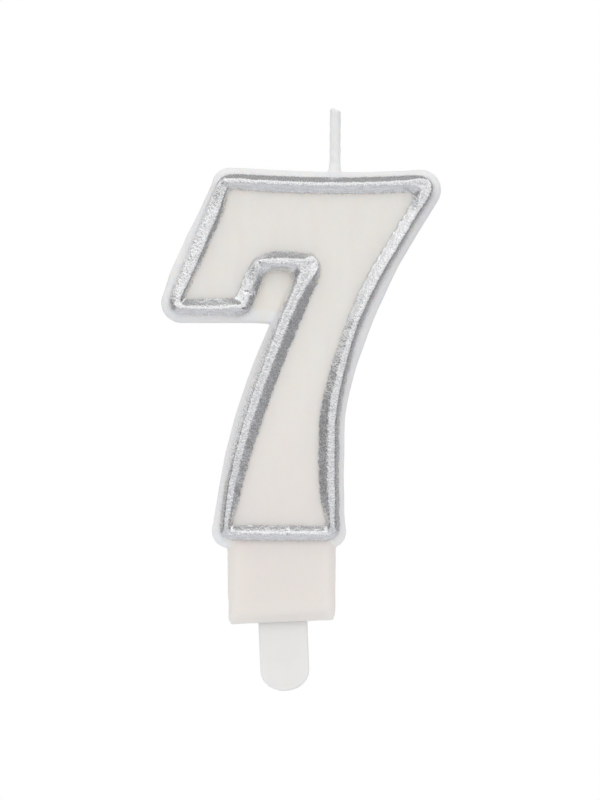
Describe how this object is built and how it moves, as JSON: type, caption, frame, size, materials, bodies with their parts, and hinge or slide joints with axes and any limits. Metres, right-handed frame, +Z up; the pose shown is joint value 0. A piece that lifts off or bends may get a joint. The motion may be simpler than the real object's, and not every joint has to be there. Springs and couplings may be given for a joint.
{
  "type": "number birthday candle",
  "caption": "Flat wax numeral seven with a silver-foiled raised rim, a short braided wick on top and a flat plastic pick below for standing it in a cake.",
  "frame": {"origin": "middle of the foot's cut face, where the pick leaves the wax: the level of the cake's top", "axes": "+Z up the number, +X to the number's right as it is read, -Y out of its printed front"},
  "size_m": [0.0489, 0.008, 0.1022],
  "materials": {
    "wax": "white paraffin wax, satin, slightly translucent",
    "silver_foil": "bright silver foil with fine wrinkles and sparkle",
    "wick_cotton": "bleached cotton plait",
    "wick_wax": "thin translucent wax coat",
    "pick_plastic": "milky translucent plastic, smooth"
  },
  "bodies": {
    "root": {"wax_body": "wax", "silver_foil": "silver_foil", "wick_strand_1": "wick_cotton", "wick_strand_2": "wick_cotton", "wick_strand_3": "wick_cotton", "wick_wax_coat": "wick_wax", "pick": "pick_plastic"}
  },
  "joints": []
}
